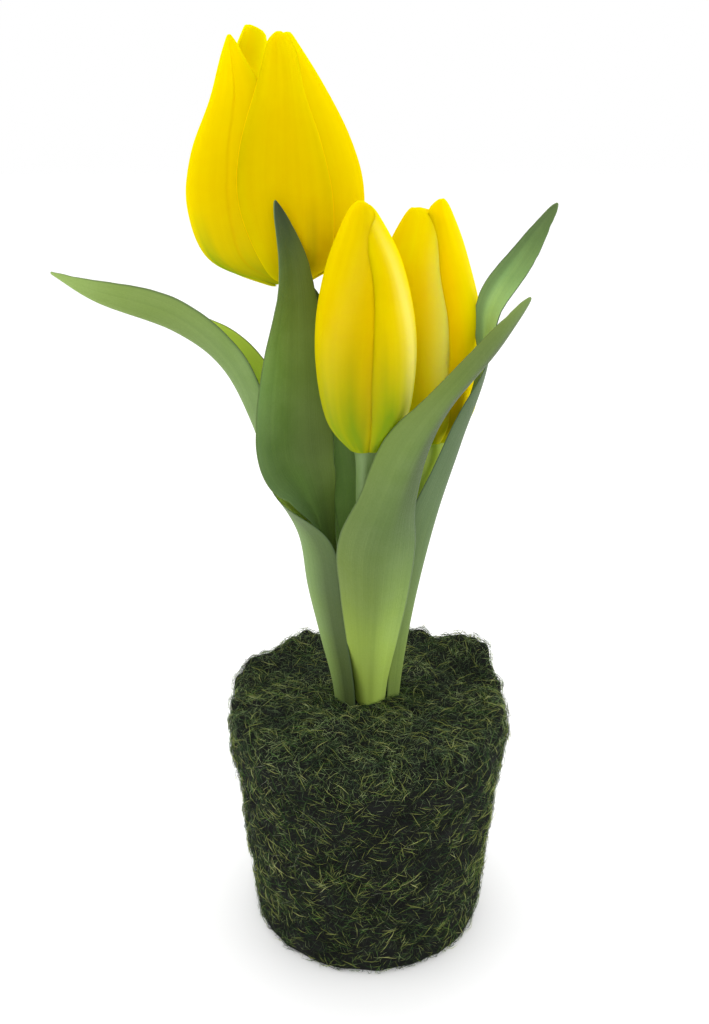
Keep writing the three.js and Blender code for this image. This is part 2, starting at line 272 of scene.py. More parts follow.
# Long parallel veins that run from foot to tip, on the blade's own UV map
veinGroup, inside, out = newGroup(
    "bladeVeins", {"Vector": (0, 0, 0), "Count": 60.0, "Run": 2.5}, ["Veins", "Bands"])
parts = wire(veinGroup, "ShaderNodeSeparateXYZ", {0: inside["Vector"]})
for label, share, run, detail in (("Veins", 1.0, 1.0, 3.0), ("Bands", 0.16, 0.7, 1.0)):
    across = times(veinGroup, inside["Count"], share)
    along = times(veinGroup, inside["Run"], run)
    stretched = wire(veinGroup, "ShaderNodeCombineXYZ", {
        0: times(veinGroup, parts[0], across),
        1: times(veinGroup, parts[1], along)})
    streaks = wire(veinGroup, "ShaderNodeTexNoise", {
        "Vector": stretched[0], "Scale": 1.0, "Detail": detail})
    feed(veinGroup, out[label], fitRange(veinGroup, streaks["Fac"], 0.28, 0.72))

# Cloudy patches, fine grain and a few tiny specks, on Object coordinates
speck = {"scale": 70.0, "rarity": 0.72, "edge": (0.030, 0.016)}
mottleGroup, inside, out = newGroup(
    "skinMottle", {"Vector": (0, 0, 0), "Size": 8.0}, ["Patches", "Grain", "Specks"])
perMetre = doMath(mottleGroup, "DIVIDE", 1000.0, inside["Size"])
for label, share, low, high in (("Patches", 1.0, 0.32, 0.68), ("Grain", 16.0, 0.3, 0.7)):
    cloud = wire(mottleGroup, "ShaderNodeTexNoise", {
        "Vector": inside["Vector"], "Detail": 2.0,
        "Scale": times(mottleGroup, perMetre, share)})
    feed(mottleGroup, out[label], fitRange(mottleGroup, cloud["Fac"], low, high))
dots = wire(mottleGroup, "ShaderNodeTexVoronoi", {
    "Vector": inside["Vector"], "Scale": speck["scale"]})
dotShade = wire(mottleGroup, "ShaderNodeSeparateColor", {0: dots["Color"]})
chosen = doMath(mottleGroup, "GREATER_THAN", dotShade[0], speck["rarity"])
dotMask = fitRange(mottleGroup, dots["Distance"], *speck["edge"])
feed(mottleGroup, out["Specks"], times(mottleGroup, chosen, dotMask))

# How near a blade's margin is: 1 at the very edge, 0 from Width inwards, from its UV map
edgeGroup, inside, out = newGroup("bladeEdge", {"Vector": (0, 0, 0), "Width": 0.08}, ["Edge"])
parts = wire(edgeGroup, "ShaderNodeSeparateXYZ", {0: inside["Vector"]})
centred = doMath(edgeGroup, "SUBTRACT", parts[0], 0.5)
away = times(edgeGroup, doMath(edgeGroup, "ABSOLUTE", centred), 2.0)
edgeStart = doMath(edgeGroup, "SUBTRACT", 1.0, inside["Width"])
feed(edgeGroup, out["Edge"], fitRange(edgeGroup, away, edgeStart, 1.0))

# Camera, light and floor

studio = {
    "camera": (-4.516, -278.145, 246.295),
    "lookDown": 20.8947,
    "lens": 35.16,
    "surround": 1.0,
    "floorSize": 12000,
    "floorColour": (0.94, 0.94, 0.94, 1),
    "floorGlow": 0.14,  # keeps the floor as white as the surround out to the horizon
    "lightTarget": (0, 0, 130),
    # name: place, size of the softbox, watts
    "softboxes": {
        "leftLight": ((-1050, -150, 520), 900, 3.4),
        "rightLight": ((1050, -100, 460), 900, 3.0),
        "topLight": ((0, 420, 1000), 900, 2.4)},
}


def setUpStudio():
    scene = bpy.context.scene
    scene.view_settings.view_transform = "Standard"
    cameraData = bpy.data.cameras.new("camera")
    cameraData.lens = studio["lens"]
    camera = putInScene("camera", cameraData)
    camera.location = Vector(studio["camera"]) * mm
    camera.rotation_euler = (math.radians(90 - studio["lookDown"]), 0, 0)
    scene.camera = camera

    world = bpy.data.worlds.new("surround")
    world.use_nodes = True
    world.node_tree.nodes["Background"].inputs[0].default_value = (1, 1, 1, 1)
    world.node_tree.nodes["Background"].inputs[1].default_value = studio["surround"]
    scene.world = world

    target = Vector(studio["lightTarget"])
    for name, (place, size, watts) in studio["softboxes"].items():
        light = bpy.data.lights.new(name, "AREA")
        light.size = size * mm
        light.energy = watts
        lamp = putInScene(name, light)
        lamp.location = Vector(place) * mm
        lamp.rotation_euler = (target - Vector(place)).to_track_quat("-Z", "Y").to_euler()

    material, tree, shader = newMaterial("paleFloor", 0.7, 0.2)
    shader.inputs["Base Color"].default_value = studio["floorColour"]
    shader.inputs["Emission Color"].default_value = (1, 1, 1, 1)
    shader.inputs["Emission Strength"].default_value = studio["floorGlow"]
    bm = bmesh.new()
    bmesh.ops.create_grid(bm, x_segments=1, y_segments=1, size=studio["floorSize"] * mm / 2)
    floor = putInScene("floor", meshFrom("floor", bm))
    floor.data.materials.append(material)


setUpStudio()
print("stage: camera, light and floor are set")

# Leaves

leafShape = {
    "thickness": 0.9,
    "edgeThickness": 0.4,  # the margin's share of the thickness
    "edgeSharpness": 5,
    "columns": 12,
    "lengthwise": 100,
    "keelRound": 0.35,
    "waveShift": 1.7,  # puts the waves of the two margins out of step
    "ripple": 0.22,  # small waves of the margin, on top of the large ones
    "rippleCount": 22,
    "nicks": 0.5,  # how ragged the margin is
    "nickCount": 90,
    "tipFrom": 0.972,  # the share of the length where the tip rounds off
    "tipWidth": 0.12,  # the least share of the width that the tip keeps
    "sidesFade": 2.4,  # how soon the shade of a half sets in beside the keel
}

# Rows: keel x, y, z, the widths of both halves, the way the hollow side looks, fold of each half.
# lift: how far the hollow side looks up. waves: how many waves a margin has, wave: their height.
# The looks of the hollow side and of the back, from foot to tip: the painted light and shade of
# each stretch, and how yellow it is (below 0 bluish), the yellow partly the blade's own and partly
# painted glow of light through it. sides: painted light and shade of both halves, in pairs from
# foot to tip, sidesFrom: how far from the keel that starts, lean: how much more yellow one half is.
evenSides = [(1, 1), (1, 1)]
leaves = {
    "far_left": {
        "lift": 0.5, "waves": 3.5, "wave": 0.9,
        "hollow": {
            "paintedShades": [1, 1, 1.5, 2.4, 2.7, 2.3, 1.2], "warmthsAndGlows": [0, 0, 0.4, 0.6, 0.6, 0.5, 0.2]},
        "back": {
            "paintedShades": [0.6, 1.05, 1.1, 1.04, 1.04, 0.88, 1.4],
            "warmthsAndGlows": [-0.1, -0.2, -0.3, -0.15, -0.1, 0.15, 0.1],
            "sides": [(0.3, 1), (0.42, 1), (1, 1), (1, 0.9)], "sidesFrom": 0.25},
        "rows": [
            [-9.9, 1.4, 60, 9.3, 4.3, -5, 40], [-10.9, 0.6, 80, 10.7, 4.8, -5, 40],
            [-14.9, -1.5, 100, 12.2, 6.2, 0, 46], [-18.4, -3.6, 118, 12.6, 7, 3, 48],
            [-20.7, -5, 135, 12.2, 8, -2, 46], [-27.6, -4.8, 151, 7.4, 6.8, -33, 34],
            [-33.2, -3, 168, 8.6, 12.4, -12, 44], [-41.2, -3, 184.5, 12, 12.8, 0, 46],
            [-54, -4.4, 195.1, 11, 9.0, 20, 45], [-74, -5, 203.0, 6.5, 5.6, 26, 42],
            [-86, -5, 210.8, 0.9, 0.9, 20, 30]]},
    "upright": {
        "lift": 0, "waves": 4, "wave": 0.6,
        "hollow": {
            "paintedShades": [1, 0.95, 1.0, 1.3, 1.3, 0.98, 1.35, 0.8, 0.28],
            "warmthsAndGlows": [0.1, 0, -0.1, -0.05, 0.05, 0.15, -0.3],
            "sides": [(1.2, 0.6), (1.2, 0.65), (0.9, 0.65), (1.4, 0.8), (1.0, 0.9)], "lean": 0.3},
        "back": {
            "paintedShades": [1, 1, 1, 1, 1, 1, 0.7], "warmthsAndGlows": [0.1, 0.1, 0, 0, 0, 0, 0]},
        "rows": [
            [-7.9, 1.2, 60, 3.1, 3.6, -20, 45], [-8.2, 1, 80, 3.4, 3.8, -20, 45],
            [-12.4, -0.8, 110, 5, 5, -20, 42], [-14.8, -2.4, 135, 4.6, 5.6, -30, 35],
            [-19.4, -5, 150, 8.6, 10.1, -52, 26], [-22.8, -8, 163, 13.3, 13.2, -58, 20],
            [-21.8, -8.6, 190, 12, 9.6, -52, 18], [-21.2, -12, 212, 5.6, 5.6, -50, 20],
            [-24.5, -15.6, 230, 0.9, 0.9, -50, 15]]},
    "front": {
        "lift": 0.2, "waves": 3, "wave": 0.7,
        "hollow": {
            "paintedShades": [0.8, 0.8, 0.8, 0.9, 1.2, 1.2, 1],
            "warmthsAndGlows": [0.2, 0.2, 0.2, 0.3, 0.4, 0.3, 0.1]},
        "back": {
            "paintedShades": [1.0, 1.1, 1.0, 0.75, 0.7, 0.74, 0.8, 0.72, 0.62, 0.9],
            "warmthsAndGlows": [0.5, 0.4, 0.12, -0.05, 0, 0.1, 0],
            "sides": [(1.2, 1.0), (1.4, 0.94), (0.5, 1.0), (0.8, 1)], "lean": 0.2},
        "rows": [
            [0.5, -6.7, 60, 6.3, 6.3, 90, 46], [0.4, -7.4, 80, 6.8, 6.5, 90, 42],
            [0.7, -12.6, 101, 8.4, 8.4, 90, 24], [1.2, -16.8, 119, 11, 11, 90, 22],
            [2, -20, 135, 12.4, 12.4, 92, 24], [5.4, -24.4, 150, 9, 10, 95, 32],
            [11, -27.4, 166.5, 6.6, 8.9, 100, 36], [18.6, -27.6, 180, 5.6, 5, 105, 38],
            [30, -25, 193.4, 4.2, 3.6, 110, 34], [40.6, -20, 206.5, 0.9, 0.9, 110, 20]]},
    "right": {
        "lift": 0.1, "waves": 3.5, "wave": 0.7,
        "hollow": {
            "paintedShades": [1, 1, 1.3, 1.6, 1.8, 2.4, 3.0, 1.5, 0.9],
            "warmthsAndGlows": [0.2, 0.4, 0.8, 0.5, -0.4, -0.25, 0],
            "sides": [(1, 1), (1, 1), (0.7, 1), (0.55, 1), (0.9, 1)]},
        "back": {
            "paintedShades": [0.85, 0.95, 0.78, 0.62, 0.52, 0.5, 0.9],
            "warmthsAndGlows": [0.1, 0, -0.4, -0.5, -0.5, -0.4, 0]},
        "rows": [
            [9.1, 0.3, 60, 4.2, 4.3, 165, 45], [9.5, -0.3, 80, 4.4, 4.6, 165, 45],
            [13, -4, 110, 7.4, 7.6, 163, 44], [18.8, -6, 140, 10.8, 10.4, 158, 36],
            [25.4, -7, 164, 7.4, 8.8, 166, 24], [31.4, -4.4, 183, 2.4, 6.4, 191, 20],
            [32.7, 1.4, 201, 3.8, 6.2, 235, 22], [41.8, 3.8, 216, 2.8, 4.6, 275, 22],
            [50.4, 4, 228, 0.9, 0.9, 275, 15]]},
    "middle": {
        "lift": 0, "waves": 3, "wave": 0.5,
        "hollow": {
            "paintedShades": [1, 1.1, 1.15, 1.2, 1.2, 1.5, 1.2],
            "warmthsAndGlows": [0.2, 0.1, -0.1, -0.1, -0.1, 0, 0],
            "sides": [(1.6, 0.5), (1.4, 0.6)]},
        "back": {
            "paintedShades": [1, 1, 1, 1, 1, 1, 1], "warmthsAndGlows": [0.2, 0.1, 0, 0, 0, 0, 0]},
        "rows": [
            [0.4, 2.9, 60, 3.8, 3.8, -90, 8], [0.3, 2.9, 80, 4, 4, -90, 8],
            [-0.8, 3.2, 110, 4.8, 4.8, -90, 16], [-2.8, 3.8, 135, 7.2, 7.2, -90, 20],
            [-3.6, 3.4, 150, 8.6, 8.6, -90, 22], [-7, 2.4, 170, 7.6, 7.6, -88, 22],
            [-13, 0, 194, 4.4, 4.4, -85, 20], [-18.5, -3.6, 210, 0.9, 0.9, -80, 15]]},
}


def leafMaterial(name, side, stops, dark, pale, warmAndGlow, edge, roughness):
    material, tree, shader = newMaterial(name, roughness, 0.2)
    skin = bladePatterns(tree, veins=70.0, run=3.0, mottleSize=9.0, margin=0.06)
    warmthAndGlow = readValue(tree, f"{side}WarmthAndGlow")
    colour = layColours(tree, colourRamp(tree, skin["Upward"], stops), [
        (skin["Patches"], 0.35, pale),
        (skin["Bands"], 0.24, dark),
        (skin["Veins"], 0.22, dark),
        (skin["Grain"], 0.14, dark),
        # yellow, partly the blade's own and partly painted glow of light through it; below 0 bluish
        (warmthAndGlow, 1.0, warmAndGlow),
        (warmthAndGlow, -1.0, (94, 122, 94)),
    ])
    # painted light and shade, from the mesh
    colour = layColours(tree, shadeColour(tree, colour, f"{side}Shade"), [
        (skin["Edge"], 0.5, edge),
        (skin["Specks"], 0.7, (150, 150, 40)),
    ])
    feed(tree, shader.inputs["Base Color"], colour)
    varyRoughness(tree, shader, skin["Grain"], roughness - 0.07, roughness + 0.07)
    addRelief(tree, shader, 0.3, 0.12, (skin["Veins"], 1.0), (skin["Grain"], 0.4))
    return material


leafHollow = leafMaterial(
    "leafHollowSide", "hollow",
    [(0.0, (128, 152, 84)), (0.3, (104, 132, 64)), (0.62, (94, 122, 52)), (0.88, (96, 122, 58)),
     (1.0, (92, 114, 66))],
    dark=(62, 88, 38), pale=(124, 148, 84), warmAndGlow=(152, 170, 62), edge=(44, 62, 36), roughness=0.5)
leafBack = leafMaterial(
    "leafBackSide", "back",
    [(0.0, (150, 172, 80)), (0.22, (140, 164, 78)), (0.5, (116, 142, 72)), (0.8, (122, 148, 74)),
     (1.0, (128, 152, 84))],
    dark=(82, 110, 54), pale=(138, 160, 100), warmAndGlow=(164, 186, 70), edge=(70, 90, 60),
    roughness=0.55)


def tipShare(shape, along):
    # the share of its width that a blade keeps where its tip rounds off
    fromTip = max(along - shape["tipFrom"], 0) / (1 - shape["tipFrom"])
    return max(math.sqrt(max(1 - fromTip ** 2, 0)), shape["tipWidth"])


def leafPoint(name, across, along):
    leaf = leaves[name]
    spine = [Vector(row[:3]) for row in leaf["rows"]]
    shape = [Vector(row[3:]) for row in leaf["rows"]]
    tangent = curveDirection(spine, along)
    left, right, looks, fold = curveThrough(shape, along)
    looks, fold = math.radians(looks), math.radians(fold)
    inward = Vector((math.cos(looks), math.sin(looks), leaf["lift"]))
    inward = (inward - tangent * inward.dot(tangent)).normalized()
    side = tangent.cross(inward)
    half = (left if across < 0 else right) * tipShare(leafShape, along)
    if abs(across) > 0.99:
        ragged = noise.noise(Vector((along * leafShape["nickCount"], across * 5, len(name))))
        half -= leafShape["nicks"] * max(ragged, 0) * mixValue(0, 1, along * 2 - 0.4)

    keel = leafShape["keelRound"]
    rise = (math.sqrt(across ** 2 + keel ** 2) - keel) / (math.sqrt(1 + keel ** 2) - keel)
    shift = leafShape["waveShift"] if across > 0 else 0
    wave = leaf["wave"] * across ** 2 * math.sin(math.pi * along)
    wave *= math.sin(2 * math.pi * leaf["waves"] * along + shift)
    rippleAt = Vector((along * leafShape["rippleCount"], across * 2.5, len(name) * 3.7))
    ripple = noise.noise(rippleAt) * mixValue(0, 1, along * 3)
    wave += leafShape["ripple"] * across ** 4 * ripple
    return (curveThrough(spine, along) + side * (half * across * math.cos(fold))
            + inward * (half * rise * math.sin(fold) + wave))


def bladeGrid(shape):
    # a flat grid with a UV map: x is the place across, y along, both from -1 to 1
    bm = bmesh.new()
    bm.loops.layers.uv.new("UVMap")
    bmesh.ops.create_grid(bm, x_segments=shape["columns"], y_segments=shape["lengthwise"], size=1,
                          calc_uvs=True)
    return bm


def thickenBlade(piece, shape):
    # the first material is for the inner side, the second for the back and the rim
    piece.vertex_groups.new(name="fullThickness")
    modifier = piece.modifiers.new("thickness", "SOLIDIFY")
    modifier.thickness = shape["thickness"] * mm
    modifier.offset = 0
    modifier.use_even_offset = True
    modifier.vertex_group = "fullThickness"
    modifier.thickness_vertex_group = shape["edgeThickness"]
    modifier.material_offset = modifier.material_offset_rim = 1
    smoothPiece(piece)


# the painted light and shade of a blade here: from foot to tip, times that of its half
def leafShade(look, across, along):
    halves = [Vector(pair) for pair in look.get("sides", evenSides)]
    half = curveThrough(halves, along, flatEnds=True)[0 if across < 0 else 1]
    fromKeel = (abs(across) - look.get("sidesFrom", 0)) * leafShape["sidesFade"]
    return curveThrough(look["paintedShades"], along, flatEnds=True) * mixValue(1, half, fromKeel)


for name, leaf in leaves.items():
    bm = bladeGrid(leafShape)
    fullThickness = bm.verts.layers.deform.new()
    newLayer = bm.verts.layers.float.new
    layers = {side: (newLayer(f"{side}Shade"), newLayer(f"{side}WarmthAndGlow"))
              for side in ("hollow", "back")}
    for vert in bm.verts:
        across, along = vert.co.x, (vert.co.y + 1) / 2
        vert[fullThickness][0] = 1 - abs(across) ** leafShape["edgeSharpness"]
        for side, (shade, warmthAndGlow) in layers.items():
            look = leaf[side]
            # painted light and shade
            vert[shade] = leafShade(look, across, along)
            # how yellow: partly the blade's own, partly painted glow of light through the blade
            vert[warmthAndGlow] = curveThrough(look["warmthsAndGlows"], along) + look.get("lean", 0) * across
        vert.co = leafPoint(name, across, along) * mm
    piece = newPiece(f"leafBlade_{name}", bm, [leafHollow, leafBack], f"leaf_{name}")
    thickenBlade(piece, leafShape)
print("stage: the leaves are made")

# Blooms

petalShape = {
    "thickness": 0.8,
    "edgeThickness": 0.22,  # the margin's share of the thickness
    "edgeSharpness": 4,
    "columns": 14,
    "lengthwise": 28,
    "footAngle": 61,  # half of what a petal spans at its foot
    "widestAngles": (64, 58),  # and the most it spans further up, outer and inner whorl
    "footEnd": 0.17,  # the share of the height where the foot ends
    "footGap": 3.8,  # from the bloom's axis to the foot
    "crown": 0.5,  # how far the midrib stands out
    "innerEnd": 0.33,  # over this share below the tips the inner whorl comes outwards
    "lapFades": (0.11, 0.2),  # the margins lap except this near the foot and the tip
    "groove": 0.15,  # the shallow fold along the midrib
    "grooveWidth": 0.09,
    "shoulderAt": 0.83,
    "shoulderLength": 0.11,
    "shoulderSpread": 1.2,
    "tipFrom": 0.93,  # the share of the height where the tip rounds off
    "tipWidth": 0.12,  # the least share of the width that the tip keeps
    "greenLineFade": 0.2,  # the green lines fade out from here over the same length again
    "streakWidths": {"greenLines": 0.16, "paintedSheens": 0.2, "paintedSeamShades": 0.25},
}
bloomHeights = [0, 0.13, 0.36, 0.58, 0.80, 1]

# Petals, outer whorl first: how far the tip opens, length over the bloom's, swing of the tip, how
# wide the halves before and after the midrib are, going round, and how far the margins tuck in.
# Painted light and shade on the petals, and greens: how green they are, both from foot to tip.
# greenShares: how much of the green each petal has.
# These name some petals by their place in the list. The painted light of one petal beside the
# others. shoulders: how much fuller it is near its tip, and on which half. bulges: the way in
# which it is fuller, and how much from foot to tip. creases: a fine fold with painted shade in
# it, its place at foot and tip. Then streaks, their place at foot and tip and how strong they
# are: pale ones that paint a sheen, green lines, and deep yellow ones that paint the shade beside
# the seams.
hiddenPetal = [1, 0.84, 0, 1, 1, 0]
blooms = {
    "tall": {
        "foot": (-22.4, 11, 205.4), "top": (-28.5, 12, 271), "belly": 22.9, "turn": -80,
        "halfWidth": 16.4, "lap": 0.05, "innerDepth": 0.8,
        "radii": [0.84, 1.0, 0.89, 0.62], "widths": [0.45, 0.84, 1.0, 0.94, 0.66, 0.36],
        "petals": [
            [7, 0.98, 26, [0.5, 0.7, 0.91, 0.9, 0.76, 0.5], [0.8, 0.74, 0.67, 0.52, 0.4, 0.75],
             -0.15],
            [6, 0.93, 0, 0.82, 1, 0.4],
            [5, 1.03, -14, [1, 1, 1, 1, 1.2, 1.1], [0.9, 0.95, 1, 0.8, 0.2, 0.1], 0.4],
            [6.5, 0.98, 4, 1.15, 1.1, 0],
            [5, 0.82, 0, 1.1, 1.1, 0],
            [10.6, 0.985, 0, [1, 1.1, 1.15, 1.3, 1.3, 0.2], [1.1, 1.1, 1.1, 1.1, 1, 0.3], 0],
        ],
        "paintedShades": [0.98, 1.0, 0.96, 0.97, 1.04, 1.15],
        "greens": [0.8, 0.35, 0.06, 0, 0, 0], "greenShares": [0.3, 0.5, 1, 0.4, 0.4, 1],
        "paintedLights": {2: 1.2},
        "bulges": {2: (190, [1.0, 1.3, 1, -0.8, -1, -1]), 5: (190, [1.2, 2.8, 3.6, 2.9, 1.3, 0])},
        "creases": {5: (0.36, 0.34)},
        "greenLines": {5: (-0.3, -0.1, 0.75), 2: (0, 0.9, 0.4), 0: (0.3, 0.5, 0.35)},
    },
    "front": {
        "foot": (-1.1, -15, 164.5), "top": (-2.2, -15.5, 230), "belly": 13, "turn": -142,
        "halfWidth": 14.2, "lap": -0.3, "innerDepth": 3.1,
        "radii": [0.78, 0.98, 0.94, 0.66], "widths": [0.45, 0.84, 1.05, 1.03, 0.85, 0.5],
        "petals": [
            [2.1, 1, 32, [1, 1, 1, 1, 1.1, 1.6], [1, 1.1, 1.18, 1.2, 1.2, 1.4], 1.2],
            [1.6, 0.985, -42, [1, 0.97, 0.96, 0.83, 0.67, 1.05], [1, 1, 1, 1, 1.1, 1.4], 0.9],
            [1.4, 0.97, 0, 1, 1, 0.9],
            hiddenPetal, hiddenPetal, hiddenPetal,
        ],
        "paintedShades": [0.92, 0.96, 0.98, 1.0, 1.06, 1.14],
        "greens": [1, 0.95, 0.45, 0.02, 0, 0], "greenShares": [0.98, 1.18, 1, 1, 1, 1],
        "paintedLights": {0: 0.96, 1: 1.08},
        "shoulders": {1: (0.6, -1)},
        "paintedSheens": {0: (-0.3, 0.6, 0.05), 1: (0, -0.1, 0.55)},
        "paintedSeamShades": {0: (0.9, 0.8, 0.3)},
    },
    "right": {
        "foot": (19.8, 8, 160), "top": (15.4, 8.5, 228), "belly": 13.4, "turn": -135,
        "halfWidth": 14.2, "lap": 0.35, "innerDepth": 3.1,
        "radii": [0.8, 0.99, 0.95, 0.66], "widths": [0.45, 0.84, 1.07, 1.05, 0.88, 0.6],
        "petals": [
            [4, 0.985, -10, [1, 1, 1, 1, 1.05, 1.7], [1, 1, 0.97, 1.08, 1.12, 1.8], 0.8],
            [4.6, 1.012, -24, [1, 1.1, 1.1, 1.1, 1.1, 0.9], [1, 1, 1, 1, 0.9, 0.8], 0.9],
            [1.5, 0.97, 0, 1, 1, 0.9],
            hiddenPetal, hiddenPetal, hiddenPetal,
        ],
        "paintedShades": [1.05, 1.2, 1.32, 1.3, 1.22, 1.16],
        "greens": [0.95, 0.6, 0.1, 0, 0, 0], "greenShares": [1, 1, 1, 1, 1, 1],
        "paintedLights": {0: 1.14, 1: 0.97},
        "shoulders": {0: (3.2, -1), 1: (0.5, 1)},
        "paintedSheens": {0: (0.8, 0.85, 0.36), 1: (0.1, 0.1, 0.06)},
        "paintedSeamShades": {0: (0.6, 0.6, 0.45), 1: (-0.7, -0.65, 0.6)},
    },
}


def petalMaterial(name, yellow, lemon, golden):
    material, tree, shader = newMaterial(name, 0.48, 0.0)
    shader.inputs["Subsurface Weight"].default_value = 0.85
    shader.inputs["Subsurface Radius"].default_value = (0.75, 0.85, 0.03)
    shader.inputs["Subsurface Scale"].default_value = 3.0 * mm
    skin = bladePatterns(tree, veins=46.0, run=2.2, mottleSize=14.0, margin=0.22)
    streakedGreen = times(tree, readValue(tree, "green"),
                          fitRange(tree, skin["Bands"], 0.0, 1.0, 0.75, 1.15))
    crease = fitRange(tree, doMath(tree, "ABSOLUTE", readValue(tree, "creaseAway")), 0.05, 0.0)
    colour = layColours(tree, rgb(yellow), [
        (skin["Patches"], 0.5, lemon),
        (skin["Bands"], 0.35, golden),
        (skin["Veins"], 0.12, golden),
        (streakedGreen, 1.0, (126, 150, 24)),
        # the margins lighter: painted rim light
        (skin["Edge"], 0.3, lemon),
        # painted sheen
        (readValue(tree, "pale"), 1.0, (250, 232, 120)),
        # painted shade beside the seams
        (readValue(tree, "paintedSeamShade"), 1.0, (232, 160, 0)),
        # painted shade in the fold
        (crease, 0.4, (200, 160, 0)),
        (skin["Specks"], 0.6, (110, 84, 16)),
    ])
    # painted light and shade from foot to tip, more on some petals
    feed(tree, shader.inputs["Base Color"], shadeColour(tree, colour))
    varyRoughness(tree, shader, skin["Grain"], 0.38, 0.5)
    addRelief(tree, shader, 0.25, 0.1, (skin["Veins"], 0.6), (skin["Grain"], 0.25), (crease, -3.0))
    return material


petalOutside = petalMaterial("petalOutside", (224, 193, 0), (232, 205, 0), (210, 172, 0))
# the inside: its own yellow, made lighter and deeper to paint the glow of light through the petal
petalInsidePaintedGlow = petalMaterial("petalInsidePaintedGlow", (252, 196, 0), (255, 204, 0), (244, 186, 0))


def standOf(bloom):
    foot, top = Vector(bloom["foot"]), Vector(bloom["top"])
    axis = (top - foot).normalized()
    return foot, axis, (top - foot).length, upAxis.rotation_difference(axis)


def petalValue(bloom, table, order, usual):
    return bloom.get(table, {}).get(order, usual)


def petalPoint(bloom, whorl, number, across, along):
    foot, axis, height, upright = standOf(bloom)
    order = 3 * whorl + number
    opening, reach, swing, before, after, tuck = bloom["petals"][order]
    turn = bloom["turn"] + 120 * (number + 0.5 * whorl)
    radii = [petalShape["footGap"], *(share * bloom["belly"] for share in bloom["radii"]), opening]

    def outlineAt(share):
        up = curveThrough(bloomHeights, share, flatEnds=True) * height * reach
        return Vector((curveThrough(radii, share, flatEnds=True), up))

    rising = (outlineAt(min(along + 0.01, 1)) - outlineAt(max(along - 0.01, 0))).normalized()
    fade = min((1 - along) / petalShape["innerEnd"], 1)
    inset = whorl * bloom["innerDepth"] * math.sin(0.5 * math.pi * fade)
    radius, up = outlineAt(along) + Vector((-rising.y, rising.x)) * inset

    # the angle that half the petal spans at this height
    width = bloom["halfWidth"] * curveThrough(bloom["widths"], along, flatEnds=True)
    reachAngle = min(width / radius, math.radians(petalShape["widestAngles"][whorl]))
    footAngle = math.radians(petalShape["footAngle"])
    halfAngle = mixValue(footAngle, reachAngle, along / petalShape["footEnd"])
    half = after if across > 0 else before
    if isinstance(half, list):
        halfAngle *= curveThrough(half, along, flatEnds=True)
    else:
        halfAngle *= mixValue(1, half, along / petalShape["footEnd"])
    halfAngle *= tipShare(petalShape, along)
    angle = math.radians(turn + swing * along ** 3) + across * halfAngle

    # the distance from the bloom's axis
    lapStart, lapEnd = petalShape["lapFades"]
    lapAlong = min(along / lapStart, 1) * min((1 - along) / lapEnd, 1) * (1 - whorl)
    outward = radius + petalShape["crown"] * (1 - across ** 2) + bloom["lap"] * across * lapAlong
    arch = math.sin(math.pi * along)
    outward -= tuck * abs(across) ** 3 * arch
    outward -= petalShape["groove"] * math.exp(-(across / petalShape["grooveWidth"]) ** 2) * arch
    shoulder, shoulderHalf = petalValue(bloom, "shoulders", order, (0, 1))
    fromShoulder = (along - petalShape["shoulderAt"]) / petalShape["shoulderLength"]
    shoulder *= math.exp(-fromShoulder ** 2)
    outward += shoulder * mixValue(0, 1, (across * shoulderHalf + 1) / petalShape["shoulderSpread"])
    bulgeWay, bulges = petalValue(bloom, "bulges", order, (0, [0, 0]))
    facing = max(math.cos(2 * (angle - math.radians(bulgeWay))), 0)
    outward += curveThrough(bulges, along, flatEnds=True) * facing
    return upright @ Vector((outward * math.cos(angle), outward * math.sin(angle), up)) + foot


def streakAt(bloom, kind, order, across, along):
    foot, tip, strength = petalValue(bloom, kind, order, (0, 0, 0))
    away = (across - mixValue(foot, tip, along)) / petalShape["streakWidths"][kind]
    return strength * math.exp(-away ** 2)


def petalGrid(bloom, whorl, number):
    order = 3 * whorl + number
    creaseFoot, creaseTip = petalValue(bloom, "creases", order, (9, 9))
    bm = bladeGrid(petalShape)
    fullThickness = bm.verts.layers.deform.new()
    for label in ("green", "shade", "pale", "paintedSeamShade", "creaseAway"):
        bm.verts.layers.float.new(label)
    green, shade, pale, paintedSeamShade, creaseAway = bm.verts.layers.float.values()
    for vert in bm.verts:
        across, along = vert.co.x, (vert.co.y + 1) / 2
        vert[fullThickness][0] = 1 - abs(across) ** petalShape["edgeSharpness"]
        # painted light and shade
        vert[shade] = curveThrough(bloom["paintedShades"], along) * petalValue(bloom, "paintedLights", order, 1)
        lineFade = petalShape["greenLineFade"]
        lineShare = mixValue(1, 0, (along - lineFade) / lineFade)
        vert[green] = max(curveThrough(bloom["greens"], along), 0) * bloom["greenShares"][order]
        vert[green] += streakAt(bloom, "greenLines", order, across, along) * lineShare
        arch = math.sin(math.pi * along)
        # pale streaks that paint a sheen
        vert[pale] = streakAt(bloom, "paintedSheens", order, across, along) * arch
        # deep yellow streaks that paint the shade beside the seams
        vert[paintedSeamShade] = streakAt(bloom, "paintedSeamShades", order, across, along) * arch
        vert[creaseAway] = across - mixValue(creaseFoot, creaseTip, along)
        vert.co = petalPoint(bloom, whorl, number, across, along) * mm
    return bm


for name, bloom in blooms.items():
    for whorl, whorlName in enumerate(("outer", "inner")):
        for number in range(3):
            label = f"{name}_{whorlName}_{number + 1}"
            piece = newPiece(f"petalBlade_{label}", petalGrid(bloom, whorl, number),
                             [petalOutside, petalInsidePaintedGlow], f"petal_{label}")
            thickenBlade(piece, petalShape)
print("stage: the petals are made")

# Hearts

